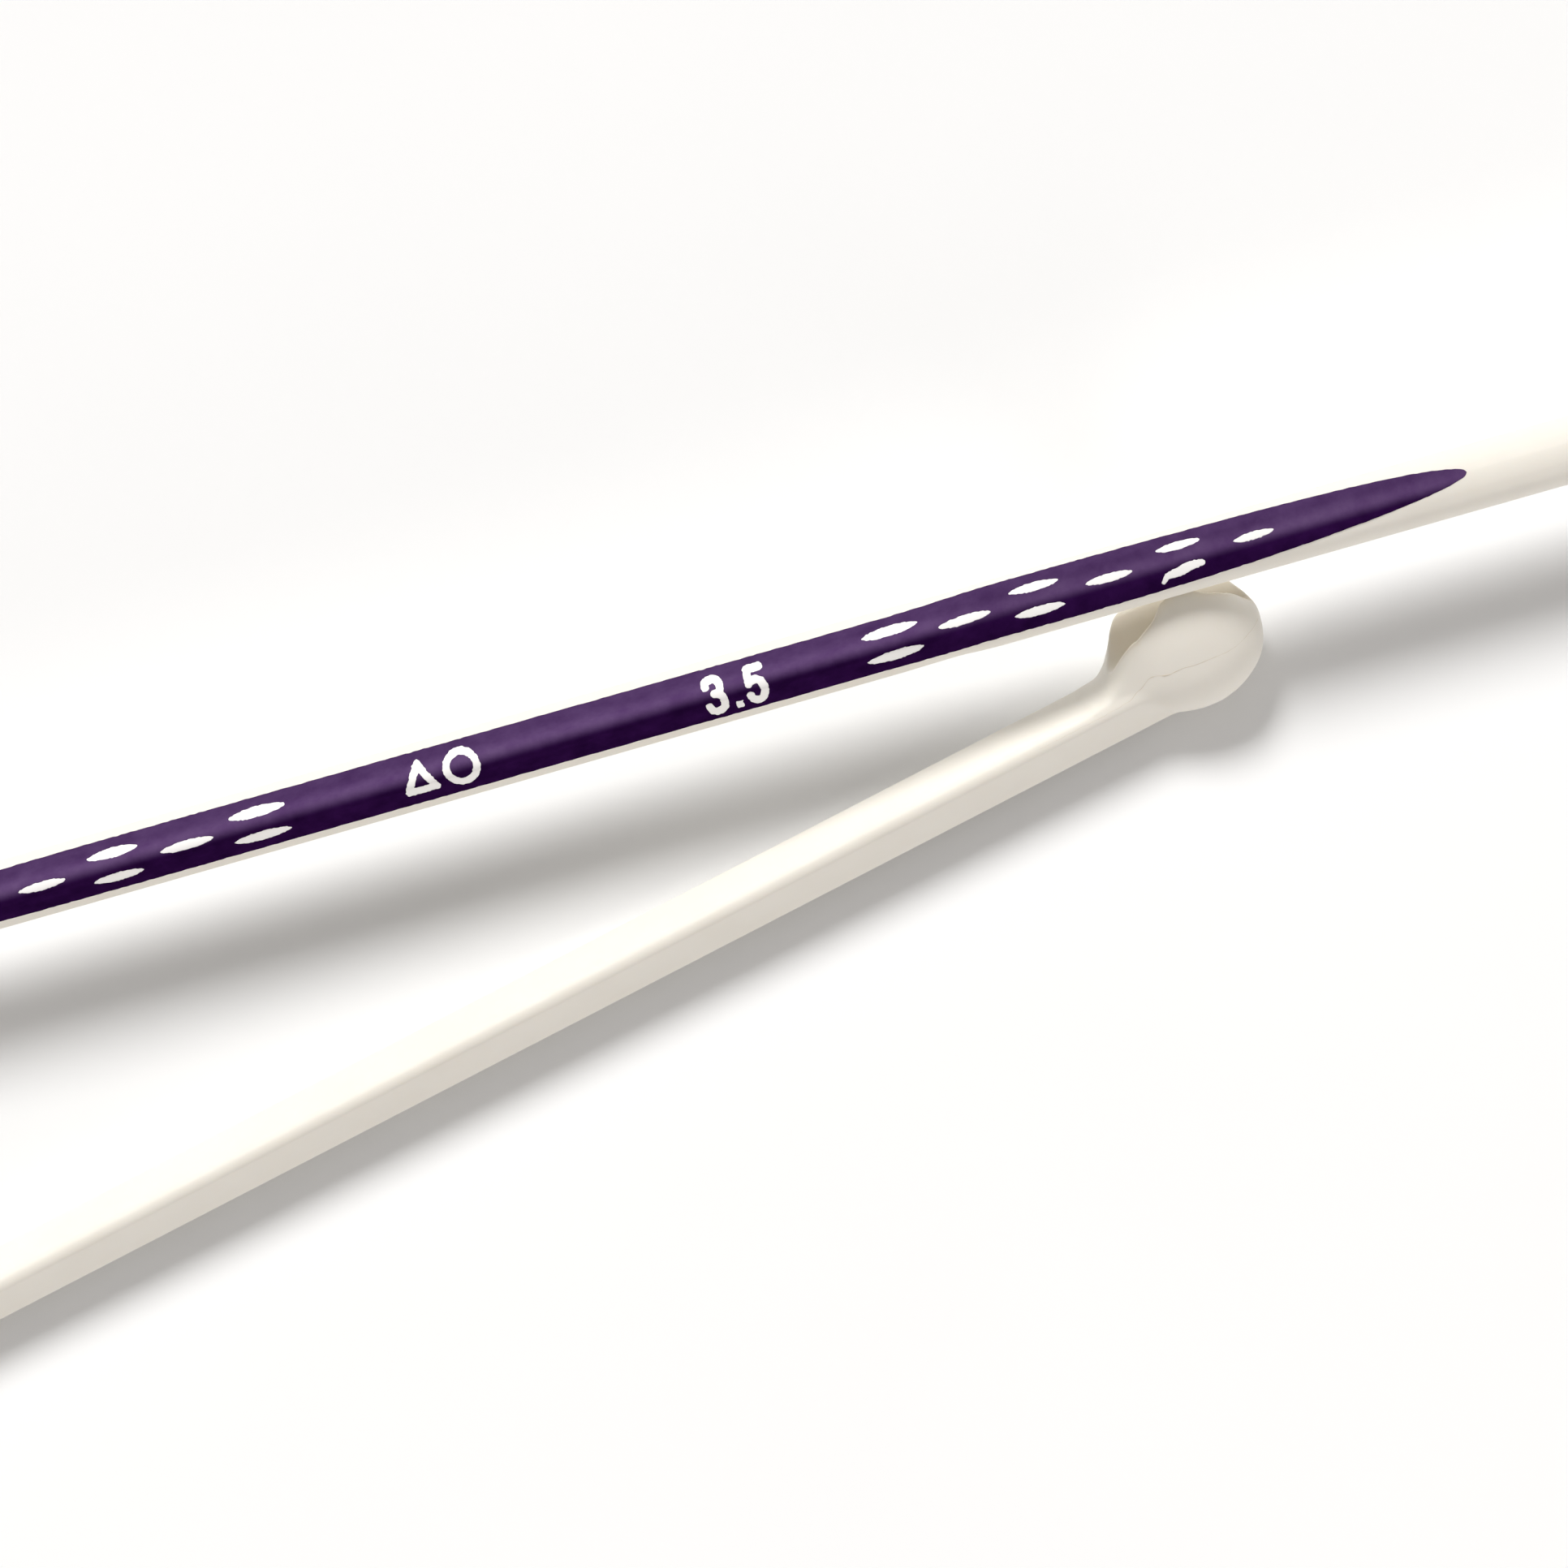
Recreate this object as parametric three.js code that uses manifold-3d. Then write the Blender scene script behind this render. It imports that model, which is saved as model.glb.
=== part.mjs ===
// A pair of straight knitting needles, the upper one resting across the slotted head of the lower one.
// Millimetres, +Z up. In a needle's own frame the far end of the head is at x = 0, the point is at
// x = -LENGTH, and the slot in the head opens towards +Z.
import * as THREE from "three";
import { mergeVertices } from "three/addons/utils/BufferGeometryUtils.js";
import Module from "manifold-3d";

const wasm = await Module();
wasm.setup();

// ---- driving dimensions ----
const LENGTH = 350;
const GAUGE = 3.5; // needle size: the round part's diameter and the triangular part's width
const CORNER_RADIUS = 0.556; // rounding of the shaft's three corners
const ROUND_FROM_POINT = 71; // the round part runs this far back from the point
const BLEND_LENGTH = 6.5; // over which the triangular section becomes round

const PRINT_CENTRE = -256; // middle of the printed band along the needle
const PRINT_HALF_LENGTH = 48.5;
const PRINT_LEAF = 23; // length of each pointed end of the band
const PRINT_HALF_WIDTH = 1.335; // on the triangular part, seen from over the shaft's top corner
const PRINT_ROUND_EXTRA = 0.065; // added to the half width on the round part
const INK_GAP = 0.02;
const INK_THICKNESS = 0.05;

const LOWER_ROLL = -60; // degrees about the needle: one flat side faces the table
const UPPER_ROLL = 175.5; // the slot faces down, with the shaft's top corner leaning a little
const UPPER_YAW = 168.55;
const CROSSING = { x: -2.81, y: 5.37 }; // where the upper axis passes the lower head, in the lower frame
const UPPER_CROSSING_FROM_POINT = 61; // distance of that place from the upper needle's point
const CONTACT_GAP = 0.01; // left between the two needles where they touch

// Profile of the working point: distance from the end, radius.
const POINT_PROFILE = [
  [0.0, 0.02],
  [0.08, 0.36],
  [0.3, 0.64],
  [0.8, 0.9],
  [1.7, 1.08],
  [2.8, 1.13],
  [4.6, 1.04],
  [7.0, 1.02],
  [10.5, 1.2],
  [15.5, 1.5],
  [21.0, 1.69],
  [26.0, GAUGE / 2],
];

// Head sections: x, height of the widest place, half width there, underside, top, squareness of the top.
const HEAD_STATIONS = [
  [-10.8, 0.95, 1.42, -0.2, 1.1, 2.6],
  [-10.0, 0.97, 1.48, -0.22, 1.3, 2.8],
  [-9.3, 1.0, 1.53, -0.26, 1.6, 3.0],
  [-8.7, 1.06, 1.58, -0.34, 2.1, 3.3],
  [-8.3, 1.13, 1.64, -0.46, 2.61, 3.6],
  [-7.9, 1.22, 1.74, -0.66, 3.2, 3.8],
  [-7.5, 1.32, 1.88, -0.95, 3.86, 3.9],
  [-7.0, 1.45, 2.08, -1.32, 4.5, 3.8],
  [-6.3, 1.58, 2.37, -1.74, 4.86, 3.3],
  [-5.5, 1.62, 2.6, -2.05, 5.36, 3.0],
  [-4.7, 1.62, 2.76, -2.24, 5.78, 2.7],
  [-3.9, 1.62, 2.84, -2.29, 5.94, 2.6],
  [-3.1, 1.62, 2.85, -2.16, 5.78, 2.6],
  [-2.3, 1.62, 2.73, -1.87, 5.4, 2.6],
  [-1.6, 1.62, 2.47, -1.48, 4.8, 2.6],
  [-1.0, 1.62, 2.08, -1.02, 4.0, 2.5],
  [-0.55, 1.62, 1.62, -0.42, 3.1, 2.4],
  [-0.22, 1.62, 1.08, 0.38, 2.44, 2.2],
  [-0.05, 1.62, 0.52, 1.05, 1.98, 2.0],
  [0.0, 1.62, 0.05, 1.55, 1.68, 2.0],
];
const HEAD_RINGS = 27;
const HEAD_POINTS = 40;

// Slot: a seat shaped like a shaft held with one corner down, closed a little at the lips.
const SLOT_SEAT = 2.15; // height of the seat's bottom
const SLOT_CLEARANCE = 0.03;
const SLOT_LIP_HALF = 1.52;
const SLOT_FLARE = 0.42; // extra half width at the end nearer the shaft

// ---- materials ----
const ivory = new THREE.MeshStandardMaterial({ color: 0xf1ebdf, roughness: 0.42, metalness: 0 });
const violetInk = new THREE.MeshStandardMaterial({ color: 0x35124f, roughness: 0.5, metalness: 0 });

// ---- shared shape helpers ----
// Closed body from rings of [x, y, z] points, every ring with the same count, running towards +X and
// turning anticlockwise when seen from +X.
function loft(rings) {
  const count = rings[0].length;
  const positions = rings.flat(2);
  const index = [];
  for (let ring = 0; ring < rings.length - 1; ring += 1) {
    for (let point = 0; point < count; point += 1) {
      const next = (point + 1) % count;
      const a = ring * count + point;
      const b = ring * count + next;
      index.push(a, b, b + count);
      index.push(a, b + count, a + count);
    }
  }
  capRing(positions, index, rings[0], 0, true);
  capRing(positions, index, rings.at(-1), (rings.length - 1) * count, false);
  const geometry = new THREE.BufferGeometry();
  geometry.setAttribute("position", new THREE.Float32BufferAttribute(positions, 3));
  geometry.setIndex(index);
  return geometry;
}

// Fan from a ring's mean point.
function capRing(positions, index, ring, first, facesBack) {
  const centre = positions.length / 3;
  for (let axis = 0; axis < 3; axis += 1) {
    positions.push(ring.reduce((sum, point) => sum + point[axis], 0) / ring.length);
  }
  for (let point = 0; point < ring.length; point += 1) {
    const next = (point + 1) % ring.length;
    const pair = facesBack ? [first + next, first + point] : [first + point, first + next];
    index.push(centre, ...pair);
  }
}

function toManifold(geometry) {
  const welded = mergeVertices(geometry, 1e-5);
  return new wasm.Manifold(
    new wasm.Mesh({
      numProp: 3,
      vertProperties: new Float32Array(welded.attributes.position.array),
      triVerts: new Uint32Array(welded.index.array),
    }),
  );
}

function toGeometry(solid) {
  const mesh = solid.getMesh();
  const geometry = new THREE.BufferGeometry();
  geometry.setAttribute("position", new THREE.BufferAttribute(mesh.vertProperties, 3));
  geometry.setIndex(new THREE.BufferAttribute(mesh.triVerts, 1));
  return geometry;
}

// ---- shaft ----
const THIRD = (2 * Math.PI) / 3;
const SIDE = GAUGE - 2 * CORNER_RADIUS; // between the centres of two corner roundings
const CORNER_REACH = SIDE / Math.sqrt(3); // from the axis to the centre of a corner rounding

// Distance from the axis to the rounded triangle's outline; angle 0 is the middle of the flat under
// the slot's mouth, and a corner lies opposite it.
function triangleRadius(angle) {
  const local = Math.abs(angle - THIRD * Math.round(angle / THIRD));
  const flat = (CORNER_REACH / 2 + CORNER_RADIUS) / Math.cos(local);
  if (flat * Math.sin(local) <= SIDE / 2) {
    return flat;
  }
  const across = THIRD / 2 - local;
  const sideways = CORNER_REACH * Math.sin(across);
  return CORNER_REACH * Math.cos(across) + Math.sqrt(CORNER_RADIUS ** 2 - sideways ** 2);
}

// Angles of a section's points: five on each flat and nine round each corner.
function sectionAngles() {
  const angles = [];
  for (let side = 0; side < 3; side += 1) {
    for (let degrees = -30; degrees <= 30; degrees += 15) {
      angles.push(side * THIRD + THREE.MathUtils.degToRad(degrees));
    }
    for (let degrees = -60; degrees <= 60; degrees += 15) {
      const turn = THREE.MathUtils.degToRad(degrees);
      const along = CORNER_REACH + CORNER_RADIUS * Math.cos(turn);
      angles.push((side + 0.5) * THIRD + Math.atan2(CORNER_RADIUS * Math.sin(turn), along));
    }
  }
  return angles;
}

// 0 where the shaft is triangular, 1 where it is round.
function roundness(x) {
  const blendEnd = -LENGTH + ROUND_FROM_POINT;
  return 1 - THREE.MathUtils.smoothstep(x, blendEnd, blendEnd + BLEND_LENGTH);
}

function shaftRadius(x, angle) {
  return THREE.MathUtils.lerp(triangleRadius(angle), GAUGE / 2, roundness(x));
}

// Stations where the section changes from round to triangular.
function blendPlaces() {
  const steps = 6;
  return Array.from(
    { length: steps + 1 },
    (_, step) => -LENGTH + ROUND_FROM_POINT + (BLEND_LENGTH * step) / steps,
  );
}

function pointRadius(fromPoint) {
  const places = POINT_PROFILE.map((row) => row[0]);
  const radii = POINT_PROFILE.map((row) => row[1]);
  const curve = new THREE.CubicInterpolant(places, radii, 1, new Float32Array(1));
  return curve.evaluate(fromPoint)[0];
}

function shaftRing(x, radiusAt) {
  return sectionAngles().map((angle) => {
    const radius = radiusAt(angle);
    return [x, -radius * Math.sin(angle), radius * Math.cos(angle)];
  });
}

function shaftSolid() {
  const pointPlaces = [0, 0.05, 0.15, 0.3, 0.6, 1.1, 1.8, 2.8, 4, 5.5, 7, 9, 11.5, 14, 17, 20, 23, 26];
  const rings = pointPlaces.map((fromPoint) =>
    shaftRing(-LENGTH + fromPoint, () => pointRadius(fromPoint)),
  );
  for (const x of blendPlaces()) {
    rings.push(shaftRing(x, (angle) => shaftRadius(x, angle)));
  }
  const insideHead = -4.2;
  rings.push(shaftRing(insideHead, triangleRadius));
  return toManifold(loft(rings));
}

// ---- head ----
const headShape = new THREE.CubicInterpolant(
  HEAD_STATIONS.map((row) => row[0]),
  HEAD_STATIONS.flatMap((row) => row.slice(1)),
  5,
  new Float32Array(5),
);

function headRing(x) {
  const [widest, halfWidth, bottom, top, square] = headShape.evaluate(x);
  return Array.from({ length: HEAD_POINTS }, (_, step) => {
    const angle = (2 * Math.PI * step) / HEAD_POINTS;
    const across = Math.sin(angle);
    const up = Math.cos(angle);
    const power = up > 0 ? 2 / square : 1;
    const reach = up > 0 ? top - widest : widest - bottom;
    const y = -halfWidth * Math.sign(across) * Math.abs(across) ** power;
    const z = widest + reach * Math.sign(up) * Math.abs(up) ** power;
    return [x, y, z];
  });
}

function headSolid() {
  const start = HEAD_STATIONS[0][0];
  const rings = [];
  for (let step = 0; step < HEAD_RINGS; step += 1) {
    const share = step / (HEAD_RINGS - 1);
    rings.push(headRing(start * (1 - share) ** 1.25));
  }
  return toManifold(loft(rings));
}

// Half outline of the slot as [half width, height], from the seat up through the lips.
function slotOutline() {
  const outline = [];
  const radius = CORNER_RADIUS + SLOT_CLEARANCE;
  for (let degrees = 0; degrees <= 60; degrees += 15) {
    const angle = THREE.MathUtils.degToRad(degrees);
    outline.push([radius * Math.sin(angle), SLOT_SEAT + radius * (1 - Math.cos(angle))]);
  }
  const shoulder = SLOT_SEAT + radius + SIDE * Math.cos(Math.PI / 6);
  for (let degrees = 60; degrees <= 125; degrees += 13) {
    const angle = THREE.MathUtils.degToRad(degrees);
    outline.push([SIDE / 2 + radius * Math.sin(angle), shoulder - radius * Math.cos(angle)]);
  }
  outline.push([SLOT_LIP_HALF, shoulder + 0.75]);
  outline.push([SLOT_LIP_HALF + 0.25, shoulder + 1.6]);
  outline.push([SLOT_LIP_HALF + 0.25, shoulder + 3]);
  return outline;
}

function slotRing(x, flare) {
  const half = slotOutline();
  const spread = ([width, height]) => [width * (1 + (flare * (height - SLOT_SEAT)) / 3.2), height];
  const right = half.map(spread).map(([width, height]) => [x, width, height]);
  const left = half.slice(1).map(spread).map(([width, height]) => [x, -width, height]);
  return [...right, ...left.reverse()];
}

function slotSolid() {
  const rings = [
    slotRing(-14, SLOT_FLARE),
    slotRing(-7.6, SLOT_FLARE),
    slotRing(-7.0, SLOT_FLARE * 0.75),
    slotRing(-6.4, SLOT_FLARE * 0.4),
    slotRing(-5.8, SLOT_FLARE * 0.15),
    slotRing(-5.2, 0),
    slotRing(2, 0),
  ];
  return toManifold(loft(rings));
}

// ---- printed band ----
function bandHalfWidth(x) {
  const fromEnd = PRINT_HALF_LENGTH - Math.abs(x - PRINT_CENTRE);
  const share = THREE.MathUtils.clamp(fromEnd / PRINT_LEAF, 0, 1);
  const full = PRINT_HALF_WIDTH + PRINT_ROUND_EXTRA * roundness(x);
  return full * Math.sin((Math.PI / 2) * share ** 0.51);
}

// Angle from the top corner to the band's edge.
function bandAngle(x) {
  const target = Math.max(bandHalfWidth(x), 0.02);
  let low = 0;
  let high = Math.PI / 2;
  for (let round = 0; round < 40; round += 1) {
    const middle = (low + high) / 2;
    const reach = shaftRadius(x, Math.PI + middle) * Math.sin(middle);
    low = reach < target ? middle : low;
    high = reach < target ? high : middle;
  }
  return low;
}

// Inner and outer skin of the ink, with its columns drawn together over the corner.
function bandRing(x) {
  const steps = 16;
  const edge = bandAngle(x);
  const layer = (offset) =>
    Array.from({ length: steps + 1 }, (_, step) => {
      const share = (2 * step) / steps - 1;
      const angle = Math.PI + edge * Math.sign(share) * Math.abs(share) ** 1.35;
      const radius = shaftRadius(x, angle) + offset;
      return [x, -radius * Math.sin(angle), radius * Math.cos(angle)];
    });
  return [...layer(INK_GAP + INK_THICKNESS), ...layer(INK_GAP).reverse()];
}

function bandGeometry() {
  const steps = 7;
  const places = blendPlaces();
  for (let step = 0; step <= steps; step += 1) {
    const fromEnd = PRINT_LEAF * (step / steps) ** 1.6;
    places.push(PRINT_CENTRE - PRINT_HALF_LENGTH + fromEnd);
    places.push(PRINT_CENTRE + PRINT_HALF_LENGTH - fromEnd);
  }
  places.sort((a, b) => a - b);
  return loft(places.map(bandRing));
}

// ---- one needle, then its resting place ----
const needleSolid = shaftSolid().add(headSolid()).subtract(slotSolid());
const needleGeometry = toGeometry(needleSolid);
const printGeometry = bandGeometry();

function lowestBetween(geometry, from, to, attitude) {
  const point = new THREE.Vector3();
  const place = geometry.attributes.position;
  let lowest = { x: 0, z: Infinity };
  for (let index = 0; index < place.count; index += 1) {
    point.fromBufferAttribute(place, index);
    if (point.x < from || point.x > to) {
      continue;
    }
    const x = point.x;
    point.applyMatrix4(attitude);
    lowest = point.z < lowest.z ? { x, z: point.z } : lowest;
  }
  return lowest;
}

function makeNeedle(name, attitude) {
  const group = new THREE.Group();
  const moulding = new THREE.Mesh(needleGeometry.clone(), ivory);
  moulding.name = `${name}_needle`;
  const print = new THREE.Mesh(printGeometry.clone(), violetInk);
  print.name = `${name}_print_band`;
  group.add(moulding, print);
  for (const mesh of group.children) {
    mesh.geometry.applyMatrix4(attitude);
  }
  return group;
}

// The lower needle lies on its head and on its round end.
function lowerAttitude() {
  const roll = new THREE.Matrix4().makeRotationX(THREE.MathUtils.degToRad(LOWER_ROLL));
  const head = lowestBetween(needleGeometry, -12, 0, roll);
  const point = lowestBetween(needleGeometry, -LENGTH, -LENGTH + ROUND_FROM_POINT, roll);
  const slope = Math.atan2(head.z - point.z, head.x - point.x);
  const tilt = new THREE.Matrix4().makeRotationY(slope).multiply(roll);
  const lift = -lowestBetween(needleGeometry, -LENGTH, 0, tilt).z;
  return new THREE.Matrix4().makeTranslation(0, 0, lift).multiply(tilt);
}

// The upper needle with its axis at a height over the crossing, and its own head on the table.
function upperAttitude(height) {
  const turn = new THREE.Matrix4().makeRotationZ(THREE.MathUtils.degToRad(UPPER_YAW));
  const roll = new THREE.Matrix4().makeRotationX(THREE.MathUtils.degToRad(UPPER_ROLL));
  const reach = LENGTH - UPPER_CROSSING_FROM_POINT;
  const head = lowestBetween(needleGeometry, -12, 0, roll);
  const slope = Math.atan2(height + head.z, reach + head.x);
  const tilt = new THREE.Matrix4().makeRotationY(slope);
  const slide = new THREE.Matrix4().makeTranslation(reach, 0, 0);
  const place = new THREE.Matrix4().makeTranslation(CROSSING.x, CROSSING.y, height);
  return place.multiply(turn).multiply(tilt).multiply(slide).multiply(roll);
}

// Lets the upper needle down until it touches the lower one.
function restingHeight(lower) {
  const lowerSolid = toManifold(needleGeometry.clone().applyMatrix4(lower));
  let touching = GAUGE;
  let clear = 4 * GAUGE;
  while (clear - touching > CONTACT_GAP / 8) {
    const height = (clear + touching) / 2;
    const upperSolid = toManifold(needleGeometry.clone().applyMatrix4(upperAttitude(height)));
    const shared = lowerSolid.intersect(upperSolid).volume();
    touching = shared > 0 ? height : touching;
    clear = shared > 0 ? clear : height;
  }
  return clear + CONTACT_GAP;
}

const lower = lowerAttitude();
const upper = upperAttitude(restingHeight(lower));
const assembly = new THREE.Group();
assembly.add(...makeNeedle("lower", lower).children);
assembly.add(...makeNeedle("upper", upper).children);

const box = new THREE.Box3().setFromObject(assembly);
const middle = box.getCenter(new THREE.Vector3());
for (const mesh of assembly.children) {
  mesh.geometry.translate(-middle.x, -middle.y, -box.min.z);
}

export default assembly;
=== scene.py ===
import math

import bpy
import numpy as np
from mathutils import Matrix, Vector


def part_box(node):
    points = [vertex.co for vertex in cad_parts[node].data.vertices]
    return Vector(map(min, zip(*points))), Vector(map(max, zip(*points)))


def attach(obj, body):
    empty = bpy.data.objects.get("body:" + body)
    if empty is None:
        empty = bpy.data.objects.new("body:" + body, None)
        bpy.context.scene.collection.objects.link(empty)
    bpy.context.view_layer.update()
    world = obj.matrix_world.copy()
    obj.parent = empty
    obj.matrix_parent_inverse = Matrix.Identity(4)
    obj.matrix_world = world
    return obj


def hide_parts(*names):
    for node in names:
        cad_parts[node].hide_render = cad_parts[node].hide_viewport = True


# A pair of straight knitting needles. Lengths are millimetres until a mesh is placed, then metres.
# In a needle's own frame the far end of the head is at x = 0, the point is at x = -LENGTH, and the
# slot in the head opens towards +Z.
MM = 0.001
LENGTH = 350.0
GAUGE = 3.5
CORNER_RADIUS = 0.556
SIDE = GAUGE - 2 * CORNER_RADIUS
CORNER_REACH = SIDE / math.sqrt(3)
ROUND_FROM_POINT = 71.0
BLEND_LENGTH = 6.5
SHAFT_END = -4.2  # inside the head
NECK_START = -12.6  # where the plain shaft meets the finely meshed head
HEAD_STEP = 0.075  # mesh size of the head
TIP_LENGTH = 26.0  # the shaped working point
KNOB_START = -10.3  # the head's swelling fades out before this
SEAM_BLEND = 0.3  # fillet between shaft and head
RIM_BLEND = 0.13  # rounding of the slot's rims

PRINT_CENTRE = -256.0
PRINT_HALF_LENGTH = 48.5
PRINT_LEAF = 23.0
PRINT_HALF_WIDTH = 1.335
PRINT_FAR_WIDENING = 0.065  # the band is this much wider on the round part
PRINT_SPAN = 1.62  # radians to each side that the print's mesh covers
INK_HEIGHT = 0.018
MARK_HEIGHT = 0.008
PRINT_DEPTH = 0.004  # how far a film of print reaches into the plastic

LOWER_ROLL = -60.0
UPPER_ROLL = 175.5
UPPER_YAW = 168.55
CROSSING = (-2.81, 5.37)
UPPER_CROSSING_FROM_POINT = 61.0

# Profile of the working point: distance from the end, radius.
POINT_PROFILE = [
    (0.0, 0.02), (0.08, 0.36), (0.3, 0.64), (0.8, 0.9), (1.7, 1.08), (2.8, 1.13), (4.6, 1.04),
    (7.0, 1.02), (10.5, 1.2), (15.5, 1.5), (21.0, 1.69), (TIP_LENGTH, GAUGE / 2),
]

# Head sections: x, height of the widest place, half width there, underside, top, squareness of the top.
HEAD_STATIONS = [
    (-10.8, 0.95, 1.42, -0.2, 1.1, 2.6),
    (-10.0, 0.97, 1.48, -0.22, 1.3, 2.8),
    (-9.3, 1.0, 1.53, -0.26, 1.6, 3.0),
    (-8.7, 1.06, 1.58, -0.34, 2.1, 3.3),
    (-8.3, 1.13, 1.64, -0.46, 2.61, 3.6),
    (-7.9, 1.22, 1.74, -0.66, 3.2, 3.8),
    (-7.5, 1.32, 1.88, -0.95, 3.86, 3.9),
    (-7.0, 1.45, 2.08, -1.32, 4.5, 3.8),
    (-6.3, 1.58, 2.37, -1.74, 4.86, 3.3),
    (-5.5, 1.62, 2.6, -2.05, 5.36, 3.0),
    (-4.7, 1.62, 2.76, -2.24, 5.78, 2.7),
    (-3.9, 1.62, 2.84, -2.29, 5.94, 2.6),
    (-3.1, 1.62, 2.85, -2.16, 5.78, 2.6),
    (-2.3, 1.62, 2.73, -1.87, 5.4, 2.6),
    (-1.6, 1.62, 2.47, -1.48, 4.8, 2.6),
    (-1.0, 1.62, 2.08, -1.02, 4.0, 2.5),
    (-0.55, 1.62, 1.62, -0.42, 3.1, 2.4),
    (-0.22, 1.62, 1.08, 0.38, 2.44, 2.2),
    (-0.05, 1.62, 0.52, 1.05, 1.98, 2.0),
]

SLOT_SEAT = 2.15
SLOT_CLEARANCE = 0.03
SLOT_LIP_HALF = 1.52
SLOT_FLARE = [(-7.6, 0.42), (-7.0, 0.32), (-6.4, 0.17), (-5.8, 0.06), (-5.2, 0.0)]

# Height of the mould's parting line along the head.
PARTING = [
    (-14.0, 0.87), (-9.4, 0.88), (-8.65, 0.92), (-7.78, 1.27), (-6.8, 1.9), (-6.25, 1.8), (-5.9, 1.76),
    (-5.15, 1.84), (-4.3, 1.7), (-3.4, 1.65), (-2.5, 1.56), (-1.65, 1.55), (-0.78, 1.62), (-0.3, 1.58),
]

# How strong the flash on the parting line is along the head, and where it has a small lump.
FLASH_SIZE = [(-13.8, 0.25), (-9.4, 0.25), (-8.2, 0.6), (-6.6, 1.4), (-4.4, 1.2), (-3.2, 0.6), (-0.3, 0.5)]
FLASH_LUMP = -6.15


# ---- small numerical helpers ----
def smooth_table(rows, count=4000):
    """Rows of (x, value, ...) as finely spaced samples of smooth curves through them."""
    rows = np.array(rows, float)
    xs, ys = rows[:, 0], rows[:, 1:]
    steps = np.diff(xs)[:, None]
    slopes = np.diff(ys, axis=0) / steps
    ends = np.empty_like(ys)
    ends[0], ends[-1] = slopes[0], slopes[-1]
    before, after = slopes[:-1], slopes[1:]
    same_way = before * after > 0
    weight_a = 2 * steps[1:] + steps[:-1]
    weight_b = steps[1:] + 2 * steps[:-1]
    safe_before = np.where(same_way, before, 1)
    safe_after = np.where(same_way, after, 1)
    harmonic = (weight_a + weight_b) / (weight_a / safe_before + weight_b / safe_after)
    ends[1:-1] = np.where(same_way, harmonic, 0)
    fine = np.linspace(xs[0], xs[-1], count)
    cell = np.clip(np.searchsorted(xs, fine) - 1, 0, len(xs) - 2)
    t = ((fine - xs[cell]) / np.diff(xs)[cell])[:, None]
    h = steps[cell]
    values = (
        (2 * t**3 - 3 * t**2 + 1) * ys[cell]
        + (t**3 - 2 * t**2 + t) * h * ends[cell]
        + (3 * t**2 - 2 * t**3) * ys[cell + 1]
        + (t**3 - t**2) * h * ends[cell + 1]
    )
    return fine, values


def smoothstep(value, low, high):
    t = np.clip((value - low) / (high - low), 0, 1)
    return t * t * (3 - 2 * t)


def smooth_min(a, b, size):
    share = np.clip(0.5 + 0.5 * (b - a) / size, 0, 1)
    return b + (a - b) * share - size * share * (1 - share)


def lattice_noise(x, y, seed):
    """Smooth noise from -1 to 1 that repeats only every 64 units."""
    table = np.random.default_rng(seed).uniform(-1, 1, (64, 64))
    i, j = np.floor(x).astype(int), np.floor(y).astype(int)
    u, v = smoothstep(x - i, 0, 1), smoothstep(y - j, 0, 1)

    def pick(a, b):
        return table[(i + a) % 64, (j + b) % 64]

    low = pick(0, 0) * (1 - u) + pick(1, 0) * u
    high = pick(0, 1) * (1 - u) + pick(1, 1) * u
    return low * (1 - v) + high * v


# ---- the shaft ----
THIRD = 2 * math.pi / 3


def triangle_radius(angle):
    """Distance from the axis to the rounded triangle; angle 0 is the middle of the flat under the slot."""
    local = np.abs(angle - THIRD * np.round(angle / THIRD))
    flat = (CORNER_REACH / 2 + CORNER_RADIUS) / np.cos(local)
    across = THIRD / 2 - local
    sideways = CORNER_REACH * np.sin(across)
    corner = CORNER_REACH * np.cos(across) + np.sqrt(np.maximum(CORNER_RADIUS**2 - sideways**2, 0))
    return np.where(flat * np.sin(local) <= SIDE / 2, flat, corner)


def shaft_radius(x, angle):
    blend = -LENGTH + ROUND_FROM_POINT
    roundness = 1 - smoothstep(x, blend, blend + BLEND_LENGTH)
    return triangle_radius(angle) * (1 - roundness) + GAUGE / 2 * roundness


def section_angles():
    angles = []
    for side in range(3):
        angles += [side * THIRD + math.radians(d) for d in np.linspace(-30, 30, 9)]
        for degrees in np.linspace(-60, 60, 25):
            turn = math.radians(degrees)
            along = CORNER_REACH + CORNER_RADIUS * math.cos(turn)
            angles.append((side + 0.5) * THIRD + math.atan2(CORNER_RADIUS * math.sin(turn), along))
    return np.array(angles)


def shaft_rings():
    """Rings of points from the point of the needle to the neck."""
    angles = section_angles()
    profile_x, profile = smooth_table(POINT_PROFILE)
    blend_end = ROUND_FROM_POINT + BLEND_LENGTH
    places = [
        *TIP_LENGTH * np.linspace(0, 1, 70) ** 1.8,
        *np.linspace(TIP_LENGTH + 2, ROUND_FROM_POINT - 1, 20),
        *np.linspace(ROUND_FROM_POINT, blend_end, 40),
        *np.linspace(blend_end + 1, LENGTH + NECK_START, 140),
    ]
    rings = []
    for from_point in places:
        x = from_point - LENGTH
        if from_point < TIP_LENGTH:
            radius = np.full(len(angles), np.interp(from_point, profile_x, profile[:, 0]))
        else:
            radius = shaft_radius(x, angles)
        across, up = -radius * np.sin(angles), radius * np.cos(angles)
        rings.append(np.stack([np.full(len(angles), x), across, up], 1))
    return np.array(rings)


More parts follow.
